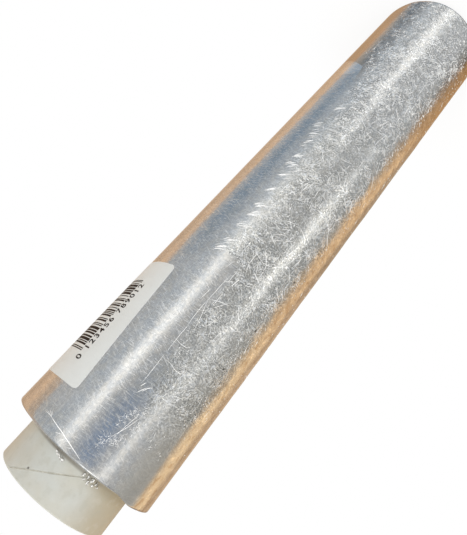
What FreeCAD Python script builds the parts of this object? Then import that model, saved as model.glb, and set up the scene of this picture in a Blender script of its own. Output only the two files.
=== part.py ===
"""A roll of cling film on its spiral-wound paper core, standing on end.

The frame is in millimetres with +Z up the roll's axis and the origin on the surface it stands
on, at the centre of the core. The core's short stand-out is at the bottom and its long one at
the top. Angles go round the axis from +X towards +Y, in degrees.
"""
import FreeCAD, Part
import math
import os
import Sketcher
from FreeCAD import Vector

PARTS_FOLDER = "parts"
QUARTER = math.pi / 2  # radians
HALF_TURN = 180.0  # degrees
THROUGH_ALL = 1  # a pocket's type
PITCH_AND_TURNS = 1  # a helix's mode

# The driving dimensions, each set once: name, value, what it is.
DIMENSIONS = [
    ("core_outer_diameter", 48.0, "outside of the core"),
    ("core_wall", 5.0, "thickness of the wound paper wall"),
    ("core_edge_break", 0.4, "worn edges at both ends of the core"),
    ("seam_pitch", 85.0, "rise of the outer ply's butt seam in one turn"),
    ("seam_width", 0.5, "gap between the two edges of the outer ply"),
    ("ply_thickness", 0.35, "depth of that gap, which is one ply of paper"),
    ("seam_top_angle", -41.0, "where the seam runs out at the core's top end"),
    ("film_width", 300.0, "width of the film, along the roll"),
    ("film_outer_diameter", 65.6, "wound roll, where its turns lie tight"),
    ("film_rim_round", 0.8, "softened edges of the roll's two end faces"),
    ("bottom_stand_out", 3.0, "core below the film's lower face"),
    ("top_stand_out", 17.0, "core above the film's upper face"),
    ("winding_clearance", 0.02, "between the core and the first turn"),
    ("tail_stand_off", 0.4, "how far the loose tail end stands off the roll"),
    ("tail_angle", -85.0, "where the tail end lies"),
    ("label_length", 58.0, "barcode label, along the roll"),
    ("label_width", 40.0, "barcode label, round the roll"),
    ("label_thickness", 0.1, "label paper"),
    ("label_corner_radius", 1.8, "die-cut corners of the label"),
    ("label_skew", 3.9, "turn of the label off the roll's axis"),
    ("label_angle", -20.3, "where the label's middle lies"),
    ("label_from_rim", 43.4, "label's middle below the film's upper face"),
    ("glue_thickness", 0.02, "adhesive between the label and the film"),
]

# The sizes that follow from them: name, formula, what it is.
DERIVED = [
    ("film_top", "=bottom_stand_out + film_width", "height of the film's upper face"),
    ("core_length", "=film_top + top_stand_out", "paper core, end to end"),
    ("core_outer_radius", "=core_outer_diameter / 2", "outside of the core"),
    ("core_inner_radius", "=core_outer_radius - core_wall", "wall of the bore"),
    ("edge_break", "=min(core_edge_break; core_wall / 4)", "kept inside the wall"),
    ("seam_depth", "=min(ply_thickness; core_wall / 2)", "kept inside the wall"),
    ("seam_floor_radius", "=core_outer_radius - seam_depth", "bottom of the seam"),
    ("seam_cut_depth", "=2 * seam_depth", "half of the cut lies in the paper and half past it"),
    ("seam_overrun", "=2 * seam_width", "seam cut past each end, so that it runs out"),
    ("seam_turns", "=(core_length + 2 * seam_overrun) / seam_pitch", "turns of the seam's cut"),
    ("seam_foot_angle", "=seam_top_angle - 360 * (core_length + seam_overrun) / seam_pitch",
     "where the seam's cut begins, below the bottom end"),
    ("film_inner_radius", "=core_outer_radius + winding_clearance", "first turn"),
    ("film_outer_radius", "=film_outer_diameter / 2", "last tight turn"),
    ("film_round", "=min(film_rim_round; (film_outer_radius - film_inner_radius) / 3)",
     "rim round, kept inside the wound film"),
    ("loose_centre", "=tail_stand_off / 2", "second centre that the loose half turn is drawn from"),
    ("loose_radius", "=film_outer_radius + loose_centre", "radius of the loose half turn"),
    ("label_inner_radius", "=film_outer_radius + glue_thickness", "back of the label"),
    ("label_outer_radius", "=label_inner_radius + label_thickness", "face of the label"),
    ("label_half_angle", "=label_width / label_inner_radius / 2 * 180 / pi",
     "half of what the label spans round the roll"),
    ("label_chord", "=2 * label_inner_radius * sin(label_half_angle * 1 deg)",
     "the wrapped label's width, seen square on"),
    ("label_height", "=film_top - label_from_rim", "height of the label's middle"),
    ("label_band", "=label_length + label_width", "height of the sleeve that the label is cut from"),
]

doc = FreeCAD.newDocument("cling_film_roll")


def make_sheet():
    """Write each dimension and formula into a spreadsheet row, under its own name."""
    sheet = doc.addObject("Spreadsheet::Sheet", "Dimensions")
    for row, (name, content, note) in enumerate(DIMENSIONS + DERIVED, start=1):
        sheet.set("A%d" % row, name)
        sheet.set("B%d" % row, str(content))
        sheet.set("C%d" % row, note)
        sheet.setAlias("B%d" % row, name)
    doc.recompute()
    return sheet


def size(name):
    """A dimension's number, for the first shape of a sketch."""
    return float(getattr(dimensions, name))


def bind(target, **formulas):
    """Give properties formulas, so that they follow the sheet when a dimension changes."""
    for prop, formula in formulas.items():
        target.setExpression(prop, formula)


def sheet_cell(name):
    return "Dimensions." + name


def origin_feature(body, role):
    """The body's own base plane or axis with this role, such as XZ_Plane."""
    return next(item for item in body.Origin.OriginFeatures if item.Role == role)


def make_body(label):
    body = doc.addObject("PartDesign::Body", label)
    body.Label = label
    return body


def make_sketch(body, name, plane):
    """A sketch on one of the body's own base planes."""
    sketch = body.newObject("Sketcher::SketchObject", name)
    sketch.AttachmentSupport = [(origin_feature(body, plane), "")]
    sketch.MapMode = "FlatFace"
    return sketch


def set_size(sketch, kind, places, name):
    """Dimension a sketch: kind and places say what is measured, name is the sheet's cell."""
    index = sketch.addConstraint(Sketcher.Constraint(kind, *places, size(name)))
    sketch.setExpression("Constraints[%d]" % index, sheet_cell(name))


def draw_loop(sketch, corners):
    """Draw straight lines round the corners, each tied to the next, and return their numbers."""
    lines = []
    for start, end in zip(corners, corners[1:] + corners[:1]):
        lines.append(sketch.addGeometry(Part.LineSegment(Vector(*start), Vector(*end)), False))
    for line, following in zip(lines, lines[1:] + lines[:1]):
        sketch.addConstraint(Sketcher.Constraint("Coincident", line, 2, following, 1))
    return lines


def square_up(sketch, lines):
    """Make a four-sided loop that starts with its bottom line a true rectangle."""
    for line, direction in zip(lines, ("Horizontal", "Vertical", "Horizontal", "Vertical")):
        sketch.addConstraint(Sketcher.Constraint(direction, line))


def turn_sketch(sketch, name):
    """Turn a sketch on an upright base plane round the roll's axis, to an angle in the sheet."""
    for part, formula in (("Axis.x", "0"), ("Axis.y", "1"), ("Axis.z", "0"), ("Angle", sheet_cell(name))):
        sketch.setExpression("AttachmentOffset.Rotation." + part, formula)


def cut_seam(body):
    """Cut the gap where a ply's two edges meet: a small section swept up the core in a helix."""
    section = make_sketch(body, "seam_section", "XZ_Plane")
    turn_sketch(section, "seam_foot_angle")
    near, low = size("seam_floor_radius"), -size("seam_overrun")
    far, high = near + size("seam_cut_depth"), low + size("seam_width")
    lines = draw_loop(section, [(near, low, 0), (far, low, 0), (far, high, 0), (near, high, 0)])
    square_up(section, lines)
    set_size(section, "DistanceX", (-1, 1, lines[0], 1), "seam_floor_radius")
    set_size(section, "DistanceX", (lines[0], 1, lines[0], 2), "seam_cut_depth")
    set_size(section, "DistanceY", (lines[0], 1, -1, 1), "seam_overrun")
    set_size(section, "DistanceY", (lines[1], 1, lines[1], 2), "seam_width")
    seam = body.newObject("PartDesign::SubtractiveHelix", "ply_seam")
    seam.Profile = section
    seam.ReferenceAxis = (origin_feature(body, "Z_Axis"), [""])
    seam.Mode = PITCH_AND_TURNS
    bind(seam, Pitch=sheet_cell("seam_pitch"), Turns=sheet_cell("seam_turns"))
    return seam


def make_core_tube():
    """Spiral-wound paper tube: a turned ring section, broken edges and the outer ply's seam."""
    body = make_body("core_tube")
    inner, outer, length = size("core_inner_radius"), size("core_outer_radius"), size("core_length")
    section = make_sketch(body, "core_section", "XZ_Plane")
    lines = draw_loop(section, [(inner, 0, 0), (outer, 0, 0), (outer, length, 0), (inner, length, 0)])
    square_up(section, lines)
    section.addConstraint(Sketcher.Constraint("PointOnObject", lines[0], 1, -1))
    set_size(section, "DistanceX", (-1, 1, lines[0], 1), "core_inner_radius")
    set_size(section, "DistanceX", (-1, 1, lines[0], 2), "core_outer_radius")
    set_size(section, "DistanceY", (lines[1], 1, lines[1], 2), "core_length")
    tube = body.newObject("PartDesign::Revolution", "core_wall_turned")
    tube.Profile = section
    tube.ReferenceAxis = (section, ["V_Axis"])
    doc.recompute()

    edges = body.newObject("PartDesign::Chamfer", "core_edges_broken")
    rings = ["Edge%d" % number for number, edge in enumerate(tube.Shape.Edges, start=1)
             if isinstance(edge.Curve, Part.Circle)]
    edges.Base = (tube, rings)
    bind(edges, Size=sheet_cell("edge_break"))
    doc.recompute()

    body.Tip = cut_seam(body)
    return body


def add_half_turn(body, name, centre, radius, clockwise):
    """Turn half of the wound film: a section with rounded rims, swept half round one centre.

    centre names how far that centre lies off the core's axis, or is None for the axis itself.
    The sweep starts at the tail, and clockwise says which way it goes, seen from above.
    """
    section = make_sketch(body, name + "_section", "XZ_Plane")
    turn_sketch(section, "tail_angle")
    middle, low, high = (size(centre) if centre else 0.0), size("bottom_stand_out"), size("film_top")
    far, rim = middle + size(radius), size("film_round")
    corners = [(middle, low), (far - rim, low), (far, low + rim), (far, high - rim), (far - rim, high),
               (middle, high)]
    line = [section.addGeometry(Part.LineSegment(Vector(*start), Vector(*end)), False)
            for start, end in (corners[0:2], corners[2:4], corners[4:6], (corners[5], corners[0]))]
    bottom, side, top, axis = line
    arcs = []
    for height, start, end in ((low + rim, -QUARTER, 0.0), (high - rim, 0.0, QUARTER)):
        circle = Part.Circle(Vector(far - rim, height), Vector(0, 0, 1), rim)
        arcs.append(section.addGeometry(Part.ArcOfCircle(circle, start, end), False))
    for joint in ((bottom, 2, arcs[0], 1), (arcs[0], 2, side, 1),
                  (side, 2, arcs[1], 1), (arcs[1], 2, top, 1)):
        section.addConstraint(Sketcher.Constraint("Tangent", *joint))
    for joint in ((top, 2, axis, 1), (axis, 2, bottom, 1)):
        section.addConstraint(Sketcher.Constraint("Coincident", *joint))
    square_up(section, [bottom, side, top, axis])
    section.addConstraint(Sketcher.Constraint("Equal", *arcs))
    set_size(section, "Radius", (arcs[0],), "film_round")
    if centre:
        set_size(section, "DistanceX", (-1, 1, bottom, 1), centre)
    else:
        section.addConstraint(Sketcher.Constraint("PointOnObject", bottom, 1, -2))
    set_size(section, "DistanceX", (bottom, 1, side, 1), radius)
    set_size(section, "DistanceY", (-1, 1, bottom, 1), "bottom_stand_out")
    set_size(section, "DistanceY", (bottom, 1, top, 2), "film_width")
    pivot = section.addGeometry(Part.LineSegment(Vector(middle, low), Vector(middle, high)), True)
    section.addConstraint(Sketcher.Constraint("Coincident", pivot, 1, bottom, 1))
    section.addConstraint(Sketcher.Constraint("Coincident", pivot, 2, top, 2))
    turn = body.newObject("PartDesign::Revolution", name)
    turn.Profile = section
    turn.ReferenceAxis = (section, ["Axis0"])
    turn.Angle = HALF_TURN
    turn.Reversed = clockwise
    doc.recompute()


def make_film_roll():
    """All the turns of film as one solid: a tight half, and a looser one that ends in the tail.

    The two halves are drawn from two centres, as a spiral is. They meet flush opposite the
    tail, and at the tail the loose half stands off the tight one by a small step.
    """
    body = make_body("film_roll")
    add_half_turn(body, "tight_half", None, "film_outer_radius", False)
    add_half_turn(body, "loose_half", "loose_centre", "loose_radius", True)
    outline = make_sketch(body, "core_hole_outline", "XY_Plane")
    ring = Part.Circle(Vector(0, 0), Vector(0, 0, 1), size("film_inner_radius"))
    circle = outline.addGeometry(ring, False)
    outline.addConstraint(Sketcher.Constraint("Coincident", circle, 3, -1, 1))
    set_size(outline, "Radius", (circle,), "film_inner_radius")
    hole = body.newObject("PartDesign::Pocket", "core_hole")
    hole.Profile = outline
    hole.Type = THROUGH_ALL
    hole.Reversed = True
    body.Tip = hole
    return body


def make_label_outline():
    """The flat label's outline seen square on: a rectangle with die-cut round corners."""
    sketch = doc.addObject("Sketcher::SketchObject", "label_outline")
    half_length, half_chord = size("label_length") / 2, size("label_chord") / 2
    corner = size("label_corner_radius")
    arcs = []
    for turn, (along, across) in enumerate(((1, 1), (-1, 1), (-1, -1), (1, -1))):
        middle = Vector(along * (half_length - corner), across * (half_chord - corner))
        circle = Part.Circle(middle, Vector(0, 0, 1), corner)
        arc = Part.ArcOfCircle(circle, turn * QUARTER, (turn + 1) * QUARTER)
        arcs.append(sketch.addGeometry(arc, False))
    sides = []
    for first, second in zip(arcs, arcs[1:] + arcs[:1]):
        start, end = sketch.getPoint(first, 2), sketch.getPoint(second, 1)
        side = sketch.addGeometry(Part.LineSegment(start, end), False)
        sketch.addConstraint(Sketcher.Constraint("Tangent", first, 2, side, 1))
        sketch.addConstraint(Sketcher.Constraint("Tangent", side, 2, second, 1))
        sides.append(side)
    for first, second in zip(arcs, arcs[1:]):
        sketch.addConstraint(Sketcher.Constraint("Equal", first, second))
    square_up(sketch, sides)
    sketch.addConstraint(Sketcher.Constraint("Symmetric", arcs[0], 3, arcs[2], 3, -1, 1))
    set_size(sketch, "Radius", (arcs[0],), "label_corner_radius")
    set_size(sketch, "DistanceX", (sides[1], 1, arcs[0], 1), "label_length")
    set_size(sketch, "DistanceY", (sides[2], 1, arcs[0], 2), "label_chord")
    return sketch


def make_sleeve_cylinder(name, radius):
    """A plain cylinder round the roll's axis, as tall as the band that the label is cut from."""
    cylinder = doc.addObject("Part::Cylinder", name)
    bind(cylinder, Radius=sheet_cell(radius), Height=sheet_cell("label_band"))
    bind(cylinder, **{"Placement.Base.z": "Dimensions.label_height - Dimensions.label_band / 2"})
    return cylinder


def make_barcode_label():
    """The label: a thin paper sleeve on the film, of which the outline's own shadow is kept.

    The outline stands upright on the axis, turned to the label's place and by its skew, and is
    drawn out past the sleeve on that side only.
    """
    sleeve = doc.addObject("Part::Cut", "label_sleeve")
    sleeve.Base = make_sleeve_cylinder("label_face", "label_outer_radius")
    sleeve.Tool = make_sleeve_cylinder("label_back", "label_inner_radius")
    outline = make_label_outline()
    bind(outline, Placement="placement(vector(0; 0; Dimensions.label_height);"
         " rotation(vector(0; 0; 1); Dimensions.label_angle) * rotation(vector(0; 1; 0); 90)"
         " * rotation(vector(0; 0; 1); Dimensions.label_skew))")
    punch = doc.addObject("Part::Extrusion", "label_punch")
    punch.Base = outline
    punch.DirMode = "Normal"
    punch.Solid = True
    bind(punch, LengthFwd="2 * " + sheet_cell("label_outer_radius"))
    label = doc.addObject("Part::Common", "barcode_label")
    label.Label = "barcode_label"
    label.Base, label.Tool = sleeve, punch
    return label


def check_document():
    """Stop with a plain message if any feature failed to build."""
    for item in doc.Objects:
        if "Invalid" in item.State or "Error" in item.State:
            raise RuntimeError("%s did not build: %s" % (item.Label, item.State))


def check_piece(piece):
    """Stop if a piece isn't one sound solid."""
    shape = piece.Shape
    if shape.isNull() or not shape.isValid() or len(shape.Solids) != 1:
        raise RuntimeError("%s is not one sound solid" % piece.Label)


def export(pieces):
    os.makedirs(PARTS_FOLDER, exist_ok=True)
    for piece in pieces:
        piece.Shape.exportStep(os.path.join(PARTS_FOLDER, piece.Label + ".step"))
        print("%-14s %9.1f mm3" % (piece.Label, piece.Shape.Volume))


dimensions = make_sheet()
pieces = [make_core_tube(), make_film_roll(), make_barcode_label()]
doc.recompute()
check_document()
for piece in pieces:
    check_piece(piece)
export(pieces)
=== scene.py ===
import bmesh
import bpy
import math
import numpy as np
from mathutils import Matrix, Vector


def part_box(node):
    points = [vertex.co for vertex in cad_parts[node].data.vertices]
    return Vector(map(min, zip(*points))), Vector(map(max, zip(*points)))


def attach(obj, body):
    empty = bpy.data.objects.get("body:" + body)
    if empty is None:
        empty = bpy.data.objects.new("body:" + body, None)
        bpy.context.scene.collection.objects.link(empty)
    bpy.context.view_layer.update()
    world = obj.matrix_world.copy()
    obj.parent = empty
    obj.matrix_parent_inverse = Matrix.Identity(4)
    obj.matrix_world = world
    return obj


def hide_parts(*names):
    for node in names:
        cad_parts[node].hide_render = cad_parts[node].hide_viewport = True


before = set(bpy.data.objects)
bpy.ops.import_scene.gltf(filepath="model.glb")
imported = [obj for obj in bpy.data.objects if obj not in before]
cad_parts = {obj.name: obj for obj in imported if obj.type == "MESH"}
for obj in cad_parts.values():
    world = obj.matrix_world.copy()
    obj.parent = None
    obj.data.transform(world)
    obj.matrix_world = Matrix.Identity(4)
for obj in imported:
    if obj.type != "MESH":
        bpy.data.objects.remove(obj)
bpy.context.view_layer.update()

# Lengths are in metres, and angles go round the roll from +X towards +Y, in degrees. A place on
# the roll is given as an angle and a height, and the flat form of a piece has x round the roll,
# measured on the tight turns, y up the roll and z outwards.
MM = 0.001
FULL_TURN = 2 * math.pi

film_low, film_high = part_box("film_roll")
core_low, core_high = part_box("core_tube")
label_low, label_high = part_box("barcode_label")
TIGHT = film_high.x
FILM_FOOT, FILM_TOP = film_low.z, film_high.z
CORE_RADIUS, CORE_TOP = core_high.x, core_high.z
CORE_WALL = 5 * MM
PLY = 0.35 * MM
HOLE = CORE_RADIUS + 0.02 * MM
RIM_ROUND = 0.8 * MM

# The free edge of the loose outer turn, from the top of the roll to its foot, and where its
# crinkles start in from that edge: angle, height in mm.
FREE_EDGE = [(-112, 303), (-103, 290.7), (-95, 278.4), (-89, 269), (-86.5, 243), (-87, 221),
             (-82, 214.5), (-66, 213), (-64, 200), (-63, 178), (-61, 155), (-57, 131), (-59, 116),
             (-54, 95), (-50, 78), (-38, 73), (-20, 66.5), (0, 62), (14, 3)]
CRINKLE_EDGE = FREE_EDGE[:15] + [(-37, 66), (-36, 43), (-35, 9), (-35, 3)]
LOOSE_END = -268.0  # where the loose turn goes back under the tight ones
LOOSE_SINK = 0.35 * MM  # how much smaller the roll is under the loose turn
SHEET = 0.015 * MM  # the loose turn's thickness
ON_FILM = 0.02  # how far out fine folds lie from the sheet, in mm

# Bulges of the loose turn round the back: height and reach in mm.
BULGES = [(79, 7), (128, 14), (180, 26), (222, 5), (232, 4), (247, 8)]

# Folds by the free edge, and shorter dashes beside them: angles and heights in mm along each.
EDGE_FOLDS = [
    [(-88.4, 272), (-88.2, 266), (-87.5, 258)], [(-87.8, 259.5), (-87.1, 250), (-87.3, 245)],
    [(-87.0, 247), (-86.1, 240), (-86.2, 233)], [(-86.4, 235), (-86.7, 226), (-87.2, 219)],
    [(-89, 260.5), (-94.5, 260.5), (-99.5, 261.2), (-103, 261), (-104.8, 259.3), (-101.5, 257.8)],
    [(-86, 252.5), (-91, 253), (-96.5, 252.5), (-98, 250.8)],
    [(-100, 280), (-98.5, 283), (-96, 291.5)], [(-94, 292), (-98.5, 286), (-102, 279.5)],
    [(-85, 231.5), (-87.5, 236), (-89.8, 240), (-91.2, 243.5), (-93, 247.5)],
    [(-83, 228.5), (-82, 235.5)], [(-89, 215.5), (-89, 223.5)], [(-94, 217), (-92.5, 224)],
    [(-89, 210), (-98.5, 214.5)], [(-96, 207.5), (-102, 214.5)], [(-95, 216), (-91.5, 211)],
    [(-92, 190.5), (-97, 188), (-102, 186.5)], [(-91, 194.5), (-96, 191.5), (-101, 190)],
    [(-89.5, 186.5), (-95, 184.2), (-100, 183)], [(-91.5, 198.5), (-100.5, 192.5)]]
EDGE_DASHES = [
    [(-89.5, 275.5), (-93, 271.5)], [(-89, 273), (-90.5, 270.5)], [(-92.5, 272.5), (-95.5, 270.5)],
    [(-91.5, 274), (-94, 271.2)], [(-105, 217.5), (-99, 219.5)], [(-104, 216.6), (-99.5, 218)]]

# Where bunches of short slanting folds step down beside the free edge, and where tufts of very
# short ones lie round its upper corner: angle, height in mm.
RUNGS = [(-65, 214), (-66, 210), (-66, 200), (-66, 193.5), (-65, 187.5), (-64.5, 177.5),
         (-63.5, 168), (-63, 160), (-62.5, 154), (-60.5, 143.5), (-59, 137), (-56, 131), (-61, 116)]
FRINGE = [(-92, 292), (-94, 291.6), (-97, 291.2), (-99.5, 290), (-101.5, 287.5), (-102, 284.5),
          (-102.3, 281.5), (-102, 278), (-98.5, 279.5), (-95, 281), (-95, 285), (-93, 293)]

# Small dark specks on the loose turn: angle, height and radius in mm.
DARK_SPECKS = [(-127.0, 248.7, 0.5), (-129.0, 228.5, 0.7), (-130.5, 201.0, 0.7)]

# Scraps of film on the core: angle, height and width in mm.
SCRAPS = [(-70.6, 305.5, 0.8), (-74.7, 306.0, 1.1), (-78.9, 306.4, 1.4), (-99.5, 305.4, 1.3),
          (-102, 306.4, 1.0), (-104, 305.2, 1.6), (-106.5, 306.6, 1.4), (-108.5, 305.4, 1.6),
          (-111, 306.5, 1.0), (-113, 305.6, 1.5), (-115, 306.3, 0.9), (-72.7, 305.8, 0.8),
          (-76.8, 306.2, 1.2)]

# The label's print: in its own flat form, x goes along each bar and y along their row.
LABEL_ANGLE = -20.3
LABEL_SKEW = math.radians(3.9)
LABEL_HEIGHT = (label_low.z + label_high.z) / 2
LABEL_FACE = TIGHT + 0.12 * MM
BARS_START = 17.4 * MM
BAR_TOP = 9.0 * MM
BAR_FOOT = -8.4 * MM
GUARD_FOOT = -9.0 * MM
MODULE = 0.375 * MM  # the slimmest bar's width in the code
INK_SPREAD = 0.05 * MM  # how much wider each bar is printed
INK_THICK = 0.012 * MM
INK_CLEAR = 0.003 * MM  # how far out from the paper the ink starts
DIGIT_SIZE = 4.1 * MM
DIGIT_BOLD = 0.09 * MM
DIGIT_PITCH = 2.62  # in mm
DIGIT_ROW = -10.6 * MM

CAMERA_PLACE = Vector((0.0, -0.1855, 0.2777))
CAMERA_AIM = Vector((0.00325, 0.0, 0.20376))
CAMERA_ROLL = math.radians(139.53)


# ---- Shader maths ----

class Value:
    """A number on a node's socket: an expression on values adds its Math nodes."""

    def __init__(self, finish, socket):
        self.finish = finish
        self.socket = socket

    def math(self, operation, *others):
        inputs = dict(enumerate((self,) + others))
        return self.finish.value("ShaderNodeMath", {"operation": operation}, inputs)

    def __add__(self, other):
        return self.math("ADD", other)

    def __radd__(self, other):
        return self + other

    def __sub__(self, other):
        return self.math("SUBTRACT", other)

    def __rsub__(self, other):
        return self * -1.0 + other

    def __mul__(self, other):
        return self.math("MULTIPLY", other)

    def __rmul__(self, other):
        return self * other

    def __truediv__(self, other):
        return self.math("DIVIDE", other)

    def __pow__(self, other):
        return self.math("POWER", other)

    def ramp(self, start, end):
        """0 before start and 1 after end, with a smooth rise between; start may be the larger."""
        settings = {"interpolation_type": "SMOOTHSTEP"}
        low, high = sorted((start, end))
        inputs = {"Value": self, "From Min": low, "From Max": high}
        rise = self.finish.value("ShaderNodeMapRange", settings, inputs, "Result")
        return rise if start < end else 1 - rise

    def bell(self, middle, spread):
        """1 at the middle, falling off to both sides."""
        offset = (self - middle) / spread
        return (offset * offset * -1.0).math("EXPONENT")


class Finish:
    """A material's or the world's node tree."""

    def __init__(self, owner):
        self.owner = owner
        owner.use_nodes = True
        self.tree = owner.node_tree
        self.tree.nodes.clear()

    def node(self, kind, settings=None, inputs=None):
        """Add a node: its settings first, then the numbers, colours or links of its sockets."""
        node = self.tree.nodes.new(kind)
        for name, setting in (settings or {}).items():
            setattr(node, name, setting)
        for name, given in (inputs or {}).items():
            source = given.socket if isinstance(given, Value) else given
            if isinstance(source, bpy.types.NodeSocket):
                self.tree.links.new(source, node.inputs[name])
            else:
                node.inputs[name].default_value = source
        return node

    def value(self, kind, settings=None, inputs=None, output=0):
        return Value(self, self.node(kind, settings, inputs).outputs[output])

    def mix(self, share, first, second):
        """A colour between two others."""
        inputs = {0: share, 6: first, 7: second}
        return self.value("ShaderNodeMix", {"data_type": "RGBA"}, inputs, 2)

    def layers(self, colour, layers):
        """A colour with others laid over it in turn, each given as its share and its colour."""
        for share, over in layers:
            colour = self.mix(share, colour, over)
        return colour

    def vector(self, x, y, z=0.0):
        return self.value("ShaderNodeCombineXYZ", None, {0: x, 1: y, 2: z})

    def parts(self, vector):
        """The x, y and z of a vector."""
        node = self.node("ShaderNodeSeparateXYZ", None, {0: vector})
        return [Value(self, output) for output in node.outputs]

    def place(self):
        return self.value("ShaderNodeTexCoord", None, None, "Object")

    def flat_place(self):
        """Where on the flat form of the piece a point is, from its own UV map."""
        return self.value("ShaderNodeUVMap", {"uv_map": "flat"})

    def noise(self, vector, scale, detail=2.0, roughness=0.5):
        inputs = {"Vector": vector, "Scale": scale, "Detail": detail, "Roughness": roughness}
        return self.value("ShaderNodeTexNoise", None, inputs)

    def near(self, coordinates, middle, radius):
        """1 close to a point, falling to 0 at the radius."""
        squares = [(value - at) * (value - at) for value, at in zip(coordinates, middle)]
        return (sum(squares[1:], squares[0]) ** 0.5).ramp(radius, radius / 2)

    def attribute(self, name):
        return self.value("ShaderNodeAttribute", {"attribute_name": name}, None, "Fac")

    def bump(self, height, distance, strength=1.0, under=None):
        inputs = {"Height": height, "Distance": distance, "Strength": strength}
        if under:
            inputs["Normal"] = under
        return self.value("ShaderNodeBump", None, inputs)

    def surface(self, inputs):
        shader = self.node("ShaderNodeBsdfPrincipled", None, inputs)
        self.node("ShaderNodeOutputMaterial", None, {"Surface": shader.outputs[0]})
        return self.owner


def new_finish(name):
    return Finish(bpy.data.materials.new(name))


def grey(level, warmth=0.0):
    """A neutral colour; a warmth above 0 leans to yellow, below 0 to blue."""
    return (level * (1 + warmth), level, level * (1 - warmth), 1.0)


# ---- Pieces ----

def put_on_roll(name, mesh, finish, smooth=True):
    """Make a finished mesh into a piece of the roll."""
    mesh.polygons.foreach_set("use_smooth", [smooth] * len(mesh.polygons))
    mesh.materials.append(finish)
    piece = bpy.data.objects.new(name, mesh)
    bpy.context.collection.objects.link(piece)
    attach(piece, "root")
    return piece


def mesh_from(bm, name):
    mesh = bpy.data.meshes.new(name)
    bm.to_mesh(mesh)
    bm.free()
    return mesh


def points_of(mesh):
    points = np.empty(len(mesh.vertices) * 3)
    mesh.vertices.foreach_get("co", points)
    return points.reshape(-1, 3)


def move_points(mesh, points):
    mesh.vertices.foreach_set("co", points.astype(np.float32).ravel())
    mesh.update()


def wrap_round_roll(mesh, radius):
    """Bend a flat mesh round the roll, its z standing out from the radius."""
    flat = points_of(mesh)
    angle = flat[:, 0] / TIGHT
    out = radius + flat[:, 2]
    move_points(mesh, np.column_stack((out * np.cos(angle), out * np.sin(angle), flat[:, 1])))


def give_thickness(piece):
    wall = piece.modifiers.new("wall", "SOLIDIFY")
    wall.thickness = SHEET
    wall.offset = 0.0


def smooth_step(values, start, end):
    """0 at the start and 1 at the end, with a smooth rise between."""
    share = np.clip((values - start) / (end - start), 0, 1)
    return share * share * (3 - 2 * share)


def waves(x, y, seed, sizes):
    """A seeded wavy field, mostly between -1 and 1, with waves of the sizes given, in metres."""
    count = 7
    rng = np.random.default_rng(seed)
    total = np.zeros(np.shape(x))
    for _ in range(count):
        direction = rng.uniform(0, FULL_TURN)
        wave = rng.uniform(*sizes)
        phase = rng.uniform(0, FULL_TURN)
        along = x * math.cos(direction) + y * math.sin(direction)
        total += np.sin(along * FULL_TURN / wave + phase)
    return total / math.sqrt(count)


def edge_angle(edge, height):
    """The angle of an edge of the loose turn at a height."""
    angles, heights = zip(*reversed(edge))
    return np.interp(height, np.array(heights) * MM, angles)


def inside_edge(edge, angle, height):
    """How far a place on the loose turn is from one of its edges, round the roll."""
    return np.radians(edge_angle(edge, height) - angle) * TIGHT


def roll_radius(angle):
    """Radius of the wound film: exact under the label, smaller under the loose turn."""
    behind = np.mod(-64 - angle, 360)
    sink = smooth_step(behind, 0, 54) * (1 - smooth_step(behind, 171, 212))
    return TIGHT - LOOSE_SINK * sink


def crinkling(angle, height):
    """How crinkled the loose turn is, 0 to 1: fading at its edges and towards the top rim."""
    soft = (1 - smooth_step(height, 0.205, 0.222)) * (0.35 + 0.65 * smooth_step(height, 0.07, 0.13))
    fade = (2.5 + 8.5 * soft) * MM
    at_edge = smooth_step(inside_edge(CRINKLE_EDGE, angle, height) / fade, -0.1, 1)
    at_end = smooth_step(angle, LOOSE_END, LOOSE_END + 20)
    reach = 0.262 + 0.034 * np.exp(-((angle + 102) / 9) ** 2)
    reach += 0.03 * smooth_step(-angle, 105, 117)
    near_rim = smooth_step(reach - height, -0.004, 0.03)
    calmer = 1 - 0.62 * smooth_step(-angle, 130, 144)
    patches = 0.78 + 0.22 * waves(angle * 0.0006, height, 5, (0.014, 0.06))
    return at_edge * at_end * near_rim * calmer * np.clip(patches, 0.3, 1)


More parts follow.
